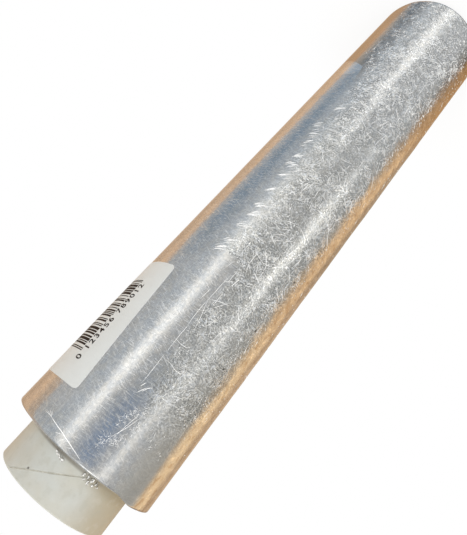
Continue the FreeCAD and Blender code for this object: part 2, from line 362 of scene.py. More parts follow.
def make_wound_film():
    """The tight turns: the roll's section spun round, then eased in under the loose turn."""
    rows, around, rings, bends = 190, 240, 14, 4
    bm = bmesh.new()
    section = [(HOLE + (TIGHT - RIM_ROUND - HOLE) * k / rings, FILM_FOOT) for k in range(rings)]
    for middle, turn in ((FILM_FOOT + RIM_ROUND, -math.pi / 2), (FILM_TOP - RIM_ROUND, 0)):
        for k in range(bends + 1):
            bend = turn + math.pi / 2 * k / bends
            section.append((TIGHT - RIM_ROUND + RIM_ROUND * math.cos(bend),
                            middle + RIM_ROUND * math.sin(bend)))
        if turn < 0:
            straight = FILM_TOP - FILM_FOOT - 2 * RIM_ROUND
            section += [(TIGHT, FILM_FOOT + RIM_ROUND + straight * k / rows)
                        for k in range(1, rows)]
    section += [(HOLE + (TIGHT - RIM_ROUND - HOLE) * k / rings, FILM_TOP)
                for k in range(rings - 1, -1, -1)]
    corners = [bm.verts.new((radius, 0, height)) for radius, height in section]
    sides = [bm.edges.new(pair) for pair in zip(corners, corners[1:] + corners[:1])]
    bmesh.ops.spin(bm, geom=corners + sides, axis=(0, 0, 1), cent=(0, 0, 0), angle=FULL_TURN,
                   steps=around, use_merge=True)
    bmesh.ops.recalc_face_normals(bm, faces=bm.faces)
    mesh = mesh_from(bm, "wound_film")

    points = points_of(mesh)
    radius = np.hypot(points[:, 0], points[:, 1])
    angle = np.degrees(np.arctan2(points[:, 1], points[:, 0]))
    share = (radius - HOLE) / (TIGHT - HOLE)
    eased = HOLE + share * (roll_radius(angle) - HOLE)
    on_end = (share > 0.02) & (share < 0.9)
    step = 0.12 * MM * (1 + waves(radius, radius * 0, 3, (0.7 * MM, 3 * MM))) / 2
    inwards = np.where(points[:, 2] > (FILM_FOOT + FILM_TOP) / 2, -1, 1)
    lift = np.where(on_end, inwards * np.clip(step, 0, 0.2 * MM), 0)
    scale = eased / np.maximum(radius, 1e-9)
    points = np.column_stack((points[:, 0] * scale, points[:, 1] * scale, points[:, 2] + lift))
    move_points(mesh, points)

    piece = put_on_roll("wound_film", mesh, wound_film_finish())
    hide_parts("film_roll")


def crease_relief(angle, height):
    """Height of the loose turn's bulges and short sharp folds."""
    fold_count, tallest = 420, 0.43 * MM
    rng = np.random.default_rng(11)
    x = np.radians(angle) * TIGHT
    relief = 0.08 * MM * waves(x, height * 0.5, 21, (0.012, 0.03)) + 0.08 * MM
    turned = smooth_step(-angle, 118, 134)
    relief += turned * 0.1 * MM * waves(x, height, 44, (0.009, 0.017))
    for level, reach in BULGES:
        away = ((height - level * MM) / (reach * MM)) ** 2 + ((angle + 166) / 22) ** 2
        relief += 0.33 * MM * np.exp(-away ** 1.5)
    folds = np.zeros(np.shape(x))
    for _ in range(fold_count):
        x0, y0 = rng.uniform(np.radians(-275), np.radians(-40)) * TIGHT, rng.uniform(0.003, 0.29)
        lean = rng.uniform(0, math.pi)
        length, width = rng.uniform(3, 11) * MM, rng.uniform(0.6, 1.3) * MM
        along = (x - x0) * math.cos(lean) + (height - y0) * math.sin(lean)
        across = (height - y0) * math.cos(lean) - (x - x0) * math.sin(lean)
        folds += np.exp(-np.abs(across) / width - (along / length) ** 2)
    return np.clip(relief + 0.05 * MM * np.minimum(folds, 2.2), 0, tallest)


def loose_lift(angle, height):
    """How far the loose turn lies out from the tight turns' radius, sunk in at its edges."""
    inside = inside_edge(FREE_EDGE, angle, height)
    seat = roll_radius(angle) - TIGHT - 0.02 * MM + 0.04 * MM * smooth_step(inside, 0, 5 * MM)
    tuck = 1 - smooth_step(angle, LOOSE_END, LOOSE_END + 9)
    deep = smooth_step(inside, 0, 8 * MM)
    return seat - 0.05 * MM * tuck + crease_relief(angle, height) * crinkling(angle, height) * deep


def outer_face(angle, height):
    """How far the outermost film stands out from the tight turns' radius."""
    return np.maximum(loose_lift(angle, height), roll_radius(angle) - TIGHT)


def make_loose_film():
    """The loose outer turn: a thin crinkled sheet from its free edge round the back."""
    across, up = 140, 320
    inset = 0.4 * MM
    bm = bmesh.new()
    bmesh.ops.create_grid(bm, x_segments=across, y_segments=up, size=0.5)
    mesh = mesh_from(bm, "loose_film")
    flat = points_of(mesh) + 0.5
    height = FILM_FOOT + inset + flat[:, 1] * (FILM_TOP - FILM_FOOT - 2 * inset)
    start = edge_angle(FREE_EDGE, height) + 0.7 * waves(height, height * 0, 8, (0.004, 0.02))
    angle = start + (LOOSE_END - start) * (1 - flat[:, 0])
    slipped = smooth_step(-angle, 116, 136) * (1 - smooth_step(-angle, 170, 205))
    height += 1.5 * MM * slipped * smooth_step(height, 0.25, FILM_TOP)
    crinkle = crinkling(angle, height)
    out = TIGHT + loose_lift(angle, height)
    turn = np.radians(angle)
    move_points(mesh, np.column_stack((out * np.cos(turn), out * np.sin(turn), height)))

    mesh.attributes.new("crinkle", "FLOAT", "POINT").data.foreach_set("value", crinkle)
    flat_map = mesh.uv_layers.new(name="flat")
    corner_of = np.empty(len(mesh.loops), dtype=np.int64)
    mesh.loops.foreach_get("vertex_index", corner_of)
    spread = np.column_stack((turn * TIGHT, height))[corner_of]
    flat_map.data.foreach_set("uv", spread.ravel())
    give_thickness(put_on_roll("loose_film", mesh, loose_film_finish()))


def scatter_creases():
    """Where the fine creases lie: x round the roll, height, direction, length, width, tone.

    They gather in tufts where the sheet is crinkled; a few are long needles, with a tone painted
    pale as a glint.
    """
    rng = np.random.default_rng(17)
    count = 120000
    angle, height = rng.uniform(-266, -33, count), rng.uniform(0.005, 0.298, count)
    x = np.radians(angle) * TIGHT
    tufted = np.clip(0.55 + 0.55 * waves(x, height, 52, (0.005, 0.016)), 0.16, 1)
    tufted *= 1 - 0.75 * smooth_step(-angle, 129, 141)
    tufted *= 1 - 0.6 * smooth_step(angle, -56, -44)
    tufted *= 1 - 0.7 * smooth_step(angle, -63, -50) * (1 - smooth_step(height, 0.07, 0.1))
    kept = rng.uniform(0, 1, count) < crinkling(angle, height) ** 1.5 * tufted
    lean = 1.8 * waves(x, height, 31, (0.02, 0.06)) + rng.normal(0, 0.55, count)
    low = 1 - smooth_step(height, 0.07, 0.2)
    length = np.minimum(0.6 + rng.exponential(0.9, count), 5.0) * (1 - 0.45 * low) * MM
    tone = rng.uniform(0, 1, count)
    coarse = 1 + 1.1 * (1 - smooth_step(height, 0.04, 0.17))
    slim = 0.06 + 0.04 * rng.uniform(0, 1, count)
    width = (slim + 0.11 * smooth_step(tone, 0.7, 1)) * coarse * MM
    needle = rng.uniform(0, 1, count) < 0.02 + 0.01 * low
    length[needle] = rng.uniform(3.0, 7.0, count)[needle] * MM
    width[needle] = (0.12 + 0.06 * low[needle]) * MM
    # The needles' tone paints them bright, as glints.
    tone[needle] = 0.95
    return np.column_stack((x, height, lean, length, width, tone))[kept]


def make_creases():
    """Fine stiff creases in the loose turn, each a slim pointed ridge that lies on the sheet."""
    whole = bmesh.new()
    tones = []
    for x, height, lean, length, width, tone in scatter_creases():
        ridge = bmesh.new()
        shape = Matrix.Translation((x, height, 0)) @ Matrix.Rotation(lean, 4, "Z")
        shape = shape @ Matrix.Rotation(math.pi / 2, 4, "Y")
        shape = shape @ Matrix.Diagonal((width * 0.6, width / 2, length / 2, 1))
        bmesh.ops.create_uvsphere(ridge, u_segments=4, v_segments=2, radius=1, matrix=shape)
        part = mesh_from(ridge, "ridge")
        whole.from_mesh(part)
        tones += [tone] * len(part.vertices)
        bpy.data.meshes.remove(part)
    lay_on_film(mesh_from(whole, "film_creases"), tones)


def lay_on_film(mesh, tones):
    """Lay a flat-form mesh of creases on the outermost film and make it a piece."""
    flat = points_of(mesh)
    flat[:, 2] += outer_face(np.degrees(flat[:, 0] / TIGHT), flat[:, 1])
    move_points(mesh, flat)
    wrap_round_roll(mesh, TIGHT)
    mesh.attributes.new("tone", "FLOAT", "POINT").data.foreach_set("value", tones)
    put_on_roll(mesh.name, mesh, crease_finish())


def add_strand(whole, path, width, thickness):
    """Add a flattened closed strand along a path, drawn to a point at both ends."""
    path = np.array(path)
    around, nudge = 6, 0.04
    grid = bmesh.new()
    bmesh.ops.create_grid(grid, x_segments=2 * len(path), y_segments=around, size=0.5)
    part = mesh_from(grid, "strand")
    place = points_of(part) + 0.5
    steps = np.linspace(0, 1, len(path))
    centre = np.column_stack([np.interp(place[:, 0], steps, path[:, k]) for k in range(3)])
    ahead = np.column_stack([np.interp(place[:, 0] + nudge, steps, path[:, k]) for k in range(3)])
    behind = np.column_stack([np.interp(place[:, 0] - nudge, steps, path[:, k]) for k in range(3)])
    along = ahead - behind
    along /= np.linalg.norm(along, axis=1)[:, None]
    side = np.cross((0, 0, 1), along)
    side /= np.maximum(np.linalg.norm(side, axis=1), 1e-6)[:, None]
    over = np.cross(along, side)
    full = np.sin(np.pi * np.clip(place[:, 0], 0, 1))[:, None] ** 0.8
    turn = place[:, 1:2] * FULL_TURN
    ring = np.cos(turn) * side * width / 2 + np.sin(turn) * over * thickness / 2
    move_points(part, centre + full * ring)
    whole.from_mesh(part)
    bpy.data.meshes.remove(part)


def close_strands(whole, name):
    """Join the strands' seams and close their ends."""
    bmesh.ops.remove_doubles(whole, verts=whole.verts, dist=0.0005 * MM)
    bmesh.ops.recalc_face_normals(whole, faces=whole.faces)
    return mesh_from(whole, name)


def spot(angle, height, out=0.0):
    """A place in the flat form, from an angle and millimetres."""
    return (math.radians(angle) * TIGHT, height * MM, out * MM)


def fold_path(places):
    """A path on the film, from the angles and heights along it."""
    return [spot(angle, height, ON_FILM) for angle, height in places]


def add_fringe(whole, rng):
    """Add tufts of very short fine folds round the free edge's upper corner."""
    tuft = 11
    for angle, height in FRINGE:
        for _ in range(tuft):
            x, y = angle + rng.normal(0, 1.5), height + rng.normal(0, 1.2)
            heading, length = rng.uniform(0, math.pi), rng.uniform(0.6, 1.9) * MM
            start = np.array(spot(x, y, ON_FILM))
            step = np.array((math.cos(heading), math.sin(heading), 0)) * length
            aside = np.array((-step[1], step[0], 0)) * rng.uniform(-0.25, 0.25)
            path = [start, start + step / 2 + aside, start + step]
            add_strand(whole, path, rng.uniform(0.05, 0.1) * MM, 0.05 * MM)


def add_rungs(whole, rng):
    """Add the bunches of short slanting folds that step down beside the free edge."""
    for angle, height in RUNGS:
        for _ in range(rng.integers(6, 11)):
            x, y = angle + rng.normal(-0.5, 1.2), height + rng.normal(0, 1.0)
            run, fall = rng.uniform(3.5, 9.5), rng.uniform(1.4, 3.8)
            path = [spot(x, y, ON_FILM), spot(x - run / 2, y - fall * 0.58, 0.03),
                    spot(x - run, y - fall, ON_FILM)]
            add_strand(whole, path, rng.uniform(0.12, 0.3) * MM, 0.08 * MM)


def add_stray_folds(whole, rng):
    """Add longer bent folds, scattered where the sheet is crinkled."""
    tries, pieces = 330, 4
    for _ in range(tries):
        angle, height = rng.uniform(-131, -74), rng.uniform(20, 242)
        if rng.uniform() > crinkling(angle, height * MM):
            continue
        heading = rng.choice((1.5, 1.5, 0.6, 2.6)) + rng.normal(0, 0.25)
        length, bend = rng.uniform(2.5, 9), rng.normal(0, 0.2)
        path = [np.array(spot(angle, height, ON_FILM))]
        for k in range(pieces):
            turned = heading + bend * k / pieces
            step = np.array((math.cos(turned), math.sin(turned), 0)) * length / pieces * MM
            path.append(path[-1] + step)
        add_strand(whole, path, rng.uniform(0.1, 0.21) * MM, 0.07 * MM)


def make_edge_folds():
    """Fine folds by the free edge, its fringe, the rungs further down it and stray folds."""
    rng = np.random.default_rng(23)
    whole = bmesh.new()
    for places in EDGE_FOLDS:
        add_strand(whole, fold_path(places), 0.16 * MM, 0.09 * MM)
    for places in EDGE_DASHES:
        add_strand(whole, fold_path(places), 0.22 * MM, 0.08 * MM)
    add_fringe(whole, rng)
    add_rungs(whole, rng)
    add_stray_folds(whole, rng)
    mesh = close_strands(whole, "edge_folds")
    # Their tone paints them pale, as glints.
    lay_on_film(mesh, [0.8] * len(mesh.vertices))


def add_scrap(whole, angle, height, width, seed):
    """Add a small crumpled scrap of film, in the flat form."""
    grid = bmesh.new()
    bmesh.ops.create_grid(grid, x_segments=22, y_segments=18, size=0.5)
    part = mesh_from(grid, "scrap")
    place = points_of(part)
    x, y = place[:, 0] * width * MM, place[:, 1] * width * 0.8 * MM
    ragged = 1 + 0.22 * waves(np.arctan2(y, x) * MM, x * 0, seed, (1.2 * MM, 3.2 * MM))
    round_off = np.minimum(1, 0.5 / np.maximum(np.hypot(place[:, 0], place[:, 1]), 1e-6))
    x, y = x * ragged * round_off, y * ragged * round_off
    folds = np.abs(waves(x, y, seed + 1, (0.9 * MM, 2.2 * MM)))
    lift = (0.1 + 0.42 * np.minimum(folds, 1.6)) * MM
    x += 0.16 * MM * waves(x, y, seed + 2, (0.8 * MM, 1.8 * MM))
    y += 0.16 * MM * waves(x, y, seed + 3, (0.8 * MM, 1.8 * MM))
    centre = spot(angle, height)
    move_points(part, np.column_stack((x + centre[0], y + centre[1], lift)))
    whole.from_mesh(part)
    bpy.data.meshes.remove(part)


def make_rim_folds():
    """The fold near the top rim, forked at its end, and a few thin creases beside it."""
    whole = bmesh.new()
    fold = [spot(-58.5, 298.0, 0.03), spot(-64, 298.5, 0.05), spot(-71.5, 299.1, 0.05),
            spot(-83, 300.5, 0.05), spot(-91, 301.7, ON_FILM)]
    add_strand(whole, fold, 0.34 * MM, 0.1 * MM)
    for far_angle, far_height in ((-52.5, 298.0), (-53.5, 297.5), (-56.5, 296.5), (-55, 296.9)):
        path = [spot(-60.0, 298.1, 0.03), spot(far_angle, far_height, ON_FILM)]
        add_strand(whole, path, 0.14 * MM, 0.06 * MM)
    for angle, height in ((-68, 300.6), (-70, 300.2), (-73, 301.0), (-76, 300.4), (-79, 301.6)):
        path = fold_path([(angle, height), (angle - 3.5, height - 0.9)])
        add_strand(whole, path, 0.12 * MM, 0.06 * MM)
    mesh = close_strands(whole, "rim_folds")
    # Its tone paints the folds pale, as glints.
    lay_on_film(mesh, [0.55] * len(mesh.vertices))


def make_core_scraps():
    """Crumpled scraps of film that lie on the core, close to the roll's end."""
    first_seed = 60
    whole = bmesh.new()
    for k, (angle, height, width) in enumerate(SCRAPS):
        add_scrap(whole, angle, height, width, first_seed + 5 * k)
    mesh = mesh_from(whole, "core_scraps")
    wrap_round_roll(mesh, CORE_RADIUS)
    give_thickness(put_on_roll("core_scraps", mesh, scrap_finish()))


def digit_widths(rng):
    """The widths of the two gaps and two bars that stand for one digit, in modules."""
    cuts = np.sort(rng.choice(np.arange(1, 7), 3, replace=False))
    return np.diff(np.concatenate(([0], cuts, [7])))


def label_bars():
    """The bars along their row: where each one ends, starts and has its foot."""
    rng = np.random.default_rng(4)
    runs = [([1, 1, 1], True, GUARD_FOOT)]
    runs += [(digit_widths(rng), False, BAR_FOOT) for _ in range(6)]
    runs += [([1, 1, 1, 1, 1], False, GUARD_FOOT)]
    runs += [(digit_widths(rng), True, BAR_FOOT) for _ in range(6)]
    runs += [([1, 1, 1], True, GUARD_FOOT)]
    bars = []
    cursor = BARS_START
    for widths, is_bar, foot in runs:
        for width in widths:
            if is_bar:
                bars.append((cursor - width * MODULE, cursor, foot))
            cursor -= width * MODULE
            is_bar = not is_bar
    return bars


def add_digits(ink):
    """Add the row of plain digits beside the bars' feet, as flat faces."""
    row = [(19.6, "0")] + [(15.2 - DIGIT_PITCH * k, c) for k, c in enumerate("123456")]
    row += [(-2.3 - DIGIT_PITCH * k, c) for k, c in enumerate("789012")]
    for along, letter in row:
        curve = bpy.data.curves.new("digit", "FONT")
        curve.body = letter
        curve.size = DIGIT_SIZE
        curve.offset = DIGIT_BOLD
        curve.align_x, curve.align_y = "CENTER", "CENTER"
        text = bpy.data.objects.new("digit", curve)
        shape = bpy.data.meshes.new_from_object(text)
        shape.transform(Matrix.Translation((DIGIT_ROW, along * MM, 0))
                        @ Matrix.Rotation(-math.pi / 2, 4, "Z"))
        ink.from_mesh(shape)
        bpy.data.objects.remove(text)
        bpy.data.curves.remove(curve)
        bpy.data.meshes.remove(shape)


def slice_digits(ink):
    """Cut the digits into strips, so that they bend round the roll with the label."""
    strip = 0.4
    for k in range(-32, -21):
        everything = ink.verts[:] + ink.edges[:] + ink.faces[:]
        bmesh.ops.bisect_plane(ink, geom=everything, plane_co=(k * strip * MM, 0, 0),
                               plane_no=(1, 0, 0))


def make_label_print():
    """Bars and plain digits on the label, as ink a few microns thick."""
    ink = bmesh.new()
    for low, high, foot in label_bars():
        middle = Matrix.Translation(((foot + BAR_TOP) / 2, (low + high) / 2, 0))
        stretch = Matrix.Diagonal((BAR_TOP - foot, high - low + INK_SPREAD, 1, 1))
        bmesh.ops.create_grid(ink, x_segments=16, y_segments=1, size=0.5, matrix=middle @ stretch)
    add_digits(ink)
    slice_digits(ink)
    bmesh.ops.triangulate(ink, faces=ink.faces[:])
    bmesh.ops.recalc_face_normals(ink, faces=ink.faces[:])
    for face in ink.faces:
        if face.normal.z < 0:
            face.normal_flip()
    bmesh.ops.solidify(ink, geom=ink.faces[:], thickness=INK_THICK)
    centre = Vector((math.radians(LABEL_ANGLE) * TIGHT, LABEL_HEIGHT, 0))
    ink.transform(Matrix.Translation(centre) @ Matrix.Rotation(LABEL_SKEW, 4, "Z"))
    mesh = mesh_from(ink, "label_print")
    flat = points_of(mesh)
    flat[:, 2] += INK_THICK - flat[:, 2].max() + INK_CLEAR
    flat[:, 0] = centre.x + (flat[:, 0] - centre.x) * TIGHT / LABEL_FACE
    move_points(mesh, flat)
    wrap_round_roll(mesh, LABEL_FACE)
    put_on_roll("label_print", mesh, ink_finish(), smooth=False)


# ---- Finishes ----

def film_colour(finish, around, up):
    """Silvery film with clouds and fine hairlines that run round the roll and a little askew.

    The hairlines are also given, for its gloss and relief.
    """

    def brushed(lean, stretch, fineness, seed):
        along = around * math.cos(lean) + up * math.sin(lean)
        across = up * math.cos(lean) - around * math.sin(lean)
        return finish.noise(finish.vector(along * stretch, across * fineness, seed), 1.0, 2.0, 0.6)

    hairs = finish.noise(finish.vector(around * 170, up * 2300), 1.0, 3.0, 0.6)
    hairs = hairs.math("MAXIMUM", brushed(0.16, 260, 2600, 3.0))
    hairs = hairs.math("MAXIMUM", brushed(-0.42, 160, 2200, 7.0))
    place = finish.vector(around, up * 0.6)
    grain = finish.noise(place, 1150.0, 2.0, 0.65)
    clouds = finish.noise(place, 130.0, 4.0, 0.6)
    tint = finish.noise(place, 430.0, 2.0, 0.6)
    from_rim = up.ramp(296 * MM, 262 * MM)
    lines = hairs.ramp(0.57, 0.73) * (0.5 + from_rim * 0.4)
    colour = finish.mix(tint.ramp(0.38, 0.62), (0.385, 0.4, 0.415, 1.0), (0.435, 0.43, 0.415, 1.0))
    colour = finish.layers(colour, [
        (clouds.ramp(0.32, 0.68) * 0.45, grey(0.52)),
        (grain.ramp(0.5, 0.38) * 0.22, (0.24, 0.25, 0.27, 1.0)),
        (grain.ramp(0.53, 0.65) * 0.2, grey(0.75)),
        (hairs.ramp(0.51, 0.42) * (0.3 + from_rim * 0.12), (0.22, 0.24, 0.27, 1.0)),
        (lines * 0.52, grey(0.88))])
    return colour, lines


def wound_film_finish():
    """Many clear turns: silvery on the roll's face, and a fine grain of turns on its ends."""
    finish = new_finish("wound_film")
    x, y, z = finish.parts(finish.place())
    around = y.math("ARCTAN2", x) * TIGHT
    colour, hairs = film_colour(finish, around, z)
    # A painted highlight: a pale patch low on the film, near the loose turn's free edge.
    painted_highlight = finish.near((around, z), (math.radians(-43) * TIGHT, 79 * MM), 8 * MM)
    colour = finish.mix(painted_highlight * 0.3, colour, grey(0.8))
    radius = (x * x + y * y) ** 0.5
    end_face = radius.ramp(TIGHT - 0.4 * MM, TIGHT - 1.4 * MM)
    turns = finish.noise(finish.vector(radius * 1800, 0.0), 1.0, 2.0)
    face_colour = finish.mix(turns.ramp(0.3, 0.7), (0.42, 0.43, 0.43, 1.0), (0.62, 0.63, 0.62, 1.0))
    colour = finish.mix(end_face, colour, face_colour)
    swell = finish.noise(finish.vector(x, y, z * 0.6), 75.0, 1.0)
    relief = finish.bump(swell, 0.00022, 1.0)
    relief = finish.bump(hairs, 0.000023, 1.0, relief)
    return finish.surface({
        "Base Color": colour, "Metallic": 0.9 - hairs * 0.2 - end_face * 0.5, "Normal": relief,
        "Roughness": 0.12 + hairs * 0.06 + end_face * 0.25})


def fibre_layer(finish, u, v, lean, scale):
    """Short fine lines at one lean, broken into patches: 1 on a line, 0 off it."""
    cosine, sine = math.cos(lean), math.sin(lean)
    along = u * cosine + v * sine
    across = v * cosine - u * sine
    field = finish.noise(finish.vector(along * 0.14, across, lean * 0.1), scale, 1.0)
    patch = finish.noise(finish.vector(along, across, lean * 0.2), scale * 0.3, 1.0)
    return (field - 0.5).math("ABSOLUTE").ramp(0.035, 0.0) * patch.ramp(0.53, 0.6)


def loose_film_finish():
    """The crinkled clear turn: silvery like the roll, with fine folds painted whitish as glints,
    and painted reflections and shade in places.
    """
    finish = new_finish("loose_film")
    u, v, _ = finish.parts(finish.flat_place())
    crinkle = finish.attribute("crinkle")
    lines = fibre_layer(finish, u, v, 0.2, 620.0)
    for lean, scale in ((0.85, 760.0), (1.5, 680.0), (2.15, 840.0), (2.75, 720.0)):
        lines = lines.math("MAXIMUM", fibre_layer(finish, u, v, lean, scale))
    lines = lines * crinkle
    grain = finish.noise(finish.vector(u, v), 1500.0, 2.0, 0.7)
    facets = finish.noise(finish.vector(u, v), 420.0, 3.0, 0.65)
    mottle = finish.noise(finish.vector(u, v * 0.7, 0.7), 330.0, 4.0, 0.65)
    hue = finish.noise(finish.vector(u, v, 0.3), 700.0, 1.0)
    # The colour of the glints painted on the crinkles.
    pale = finish.mix(hue.ramp(0.4, 0.6), (0.92, 0.95, 1.0, 1.0), (1.0, 0.98, 0.93, 1.0))

    degree = math.radians(1) * TIGHT
    # Painted reflections: a dark brownish one low down past the free edge, and warm and brown ones
    # along the far side of the crinkles.
    far_side_reflection = v.ramp(95 * MM, 82 * MM) * u.ramp(0, -14 * degree)
    warm_reflection = u.ramp(-112 * degree, -124 * degree) * u.ramp(-175 * degree, -163 * degree)
    brown_reflection = u.ramp(-132 * degree, -140 * degree) * u.ramp(-175 * degree, -163 * degree)
    # Painted shade in three darker zones at the foot of the loose turn.
    low_shade_by_edge = v.ramp(84 * MM, 68 * MM) * u.ramp(-65 * degree, -57 * degree)
    low_shade_by_edge = low_shade_by_edge * u.ramp(-45 * degree, -52 * degree)
    foot_shade_by_edge = v.ramp(34 * MM, 16 * MM) * u.ramp(-60 * degree, -46 * degree)
    foot_shade_at_side = v.ramp(62 * MM, 18 * MM) * u.ramp(-124 * degree, -134 * degree)

    colour, hairs = film_colour(finish, u, v)
    colour = finish.layers(colour, [
        (crinkle * v.ramp(0.1, 0.14) * 0.3, (0.4, 0.405, 0.36, 1.0)),
        (far_side_reflection * u.ramp(-66 * degree, -47 * degree), (0.39, 0.31, 0.235, 1.0)),
        (far_side_reflection * u.ramp(-44 * degree, -26 * degree) * 0.85, (0.25, 0.235, 0.215, 1.0)),
        (warm_reflection * 0.6, (0.43, 0.41, 0.365, 1.0)),
        (low_shade_by_edge * 0.4, (0.2, 0.205, 0.21, 1.0)),
        (foot_shade_by_edge * 0.55, (0.17, 0.165, 0.16, 1.0)),
        (foot_shade_at_side * 0.5, (0.17, 0.14, 0.12, 1.0)),
        (brown_reflection * mottle.ramp(0.5, 0.36) * 0.6, (0.27, 0.2, 0.13, 1.0)),
        (brown_reflection * mottle.ramp(0.54, 0.68) * 0.5, (0.85, 0.8, 0.7, 1.0)),
        # Painted shade and glints on the crinkles: dark and pale specks of grain, and pale fine
        # lines.
        (grain.ramp(0.51, 0.4) * crinkle * 0.85, (0.14, 0.145, 0.15, 1.0)),
        (grain.ramp(0.6, 0.65) * crinkle * 0.9, pale),
        (lines * 0.75, pale)])
    for angle, height, radius in DARK_SPECKS:
        at = (math.radians(angle) * TIGHT, height * MM)
        colour = finish.mix(finish.near((u, v), at, radius * MM) * 0.9, colour, grey(0.02, 0.1))
    relief = finish.bump(facets * crinkle, 0.00005, 1.0)
    relief = finish.bump(grain * crinkle, 0.000015, 1.0, relief)
    relief = finish.bump(lines, 0.00003, 1.0, relief)
    return finish.surface({
        "Base Color": colour, "Metallic": 0.9 - hairs * 0.2, "Normal": relief,
        "Roughness": 0.12 + facets * 0.08})


def crease_finish():
    """A stiff fold in clear film, painted from grey as shade to bright white as glints."""
    finish = new_finish("film_creases")
    tone = finish.attribute("tone")
    colour = finish.mix(tone.ramp(0.16, 0.6), (0.11, 0.115, 0.12, 1.0), grey(0.99))
    return finish.surface({"Base Color": colour, "Metallic": 0.45 - tone * 0.4, "Roughness": 0.25})


def scrap_finish():
    """Clear film crumpled on the core: shiny, with the board's colour showing through and pale
    specks painted on as glints.
    """
    finish = new_finish("film_scraps")
    # The pale specks are painted glints on the crumples.
    specks = finish.noise(finish.place(), 1600.0, 2.0, 0.6)
    colour = finish.mix(specks.ramp(0.42, 0.56), (0.4, 0.385, 0.34, 1.0), grey(0.98, 0.01))
    return finish.surface({"Base Color": colour, "Metallic": 0.2, "Roughness": 0.12})


def paper_colour(finish, colour, darker):
    """Paper with faint fibres and clouds; the fibres are also given for its relief."""
    place = finish.place()
    fibres = finish.noise(place, 2600.0, 3.0, 0.7)
    clouds = finish.noise(place, 90.0, 3.0)
    share = clouds.ramp(0.3, 0.75) * 0.5 + fibres.ramp(0.5, 0.8) * 0.25
    return finish.mix(share, colour, darker), fibres


def core_finish():
    """Grey-white board: plies on its ends, a thin seam, and painted light and shade at its sides,
    its top and by the film.
    """
    finish = new_finish("core_board")
    colour, fibres = paper_colour(finish, (0.54, 0.555, 0.525, 1.0), (0.5, 0.465, 0.375, 1.0))
    x, y, z = finish.parts(finish.place())
    radius = (x * x + y * y) ** 0.5
    bore = CORE_RADIUS - CORE_WALL
    wall = radius.ramp(CORE_RADIUS - 0.9 * MM, CORE_RADIUS - 0.6 * MM)
    inside = radius.ramp(bore + 0.6 * MM, bore + 0.3 * MM)
    at_end = z.ramp(CORE_TOP - 0.3 * MM, CORE_TOP - 0.1 * MM)
    at_foot = z.ramp(core_low.z + 0.3 * MM, core_low.z + 0.1 * MM)
    ends = at_end.math("MAXIMUM", at_foot)
    plies = (radius * (FULL_TURN / PLY)).math("SINE").ramp(0.5, 1.0)

    beside = x.math("ABSOLUTE").ramp(15 * MM, 23 * MM)
    turned = x.ramp(-2 * MM, -14 * MM)
    film_shadow = z.ramp(FILM_TOP + 6.5 * MM, FILM_TOP + 2 * MM)
    outer = z.ramp(FILM_TOP + 4 * MM, FILM_TOP + 10 * MM)
    facing = (y.math("ARCTAN2", x) * (180 / math.pi)).bell(-74.0, 40.0)
    contact_shade = z.ramp(FILM_TOP + 2.9 * MM, FILM_TOP + 1.9 * MM)
    seam = radius.ramp(CORE_RADIUS - 0.08 * MM, CORE_RADIUS - 0.2 * MM) * (1 - ends) * wall
    smudges = finish.noise(finish.vector(x, y, z), 900.0, 2.0).ramp(0.35, 0.65)
    mottle = finish.noise(finish.vector(x, y, z), 260.0, 4.0, 0.65)
    speck_turn = math.radians(-61)
    speck = (CORE_RADIUS * math.cos(speck_turn), CORE_RADIUS * math.sin(speck_turn),
             FILM_TOP + 12 * MM)
    colour = finish.layers(colour, [
        (plies * ends * 0.6, (0.34, 0.29, 0.21, 1.0)),
        # Painted warm bounce light at both sides of the wall, towards +X and -X.
        (wall * beside * 0.4, (0.6, 0.49, 0.34, 1.0)),
        # Painted warm shade on the wall's -X side.
        (wall * x.ramp(-4 * MM, -19 * MM) * 0.56, (0.34, 0.255, 0.125, 1.0)),
        # A painted brown shadow on the wall by the film, on its -X side.
        (wall * turned * film_shadow * 0.7, (0.33, 0.265, 0.165, 1.0)),
        # Painted shade: the wall a little darker towards its top end.
        (wall * outer * 0.1, grey(0.2)),
        # Painted shade: a dark line where the core comes out of the film.
        (wall * contact_shade * facing * 0.8, (0.15, 0.125, 0.095, 1.0)),
        # The seam's floor is painted lighter than the board, as painted light against its own
        # shade; the smudges on it are dark marks of the joint.
        (seam, (0.72, 0.71, 0.64, 1.0)),
        (seam * smudges * 0.35, (0.4, 0.37, 0.3, 1.0)),
        (finish.near((x, y, z), speck, 0.55 * MM) * 0.85, (0.05, 0.04, 0.03, 1.0)),
        (inside * (1 - ends) * 0.35, (0.42, 0.36, 0.27, 1.0)),
        (wall * mottle.ramp(0.5, 0.36) * 0.22, (0.36, 0.35, 0.29, 1.0)),
        (wall * mottle.ramp(0.54, 0.68) * 0.1, (0.68, 0.68, 0.66, 1.0))])
    relief = finish.bump(fibres, 0.00004, 0.5)
    return finish.surface({"Base Color": colour, "Roughness": 0.75, "Normal": relief})


def label_finish():
    finish = new_finish("label_paper")
    colour, fibres = paper_colour(finish, (0.615, 0.635, 0.63, 1.0), (0.585, 0.6, 0.59, 1.0))
    relief = finish.bump(fibres, 0.00001, 0.3)
    return finish.surface({"Base Color": colour, "Roughness": 0.5, "Normal": relief})


def ink_finish():
    finish = new_finish("label_ink")
    speckle = finish.noise(finish.place(), 3000.0, 2.0)
    colour = finish.mix(speckle, (0.004, 0.002, 0.002, 1.0), (0.016, 0.01, 0.01, 1.0))
    return finish.surface({"Base Color": colour, "Roughness": 0.6, "Specular IOR Level": 0.15})


# ---- Stage ----

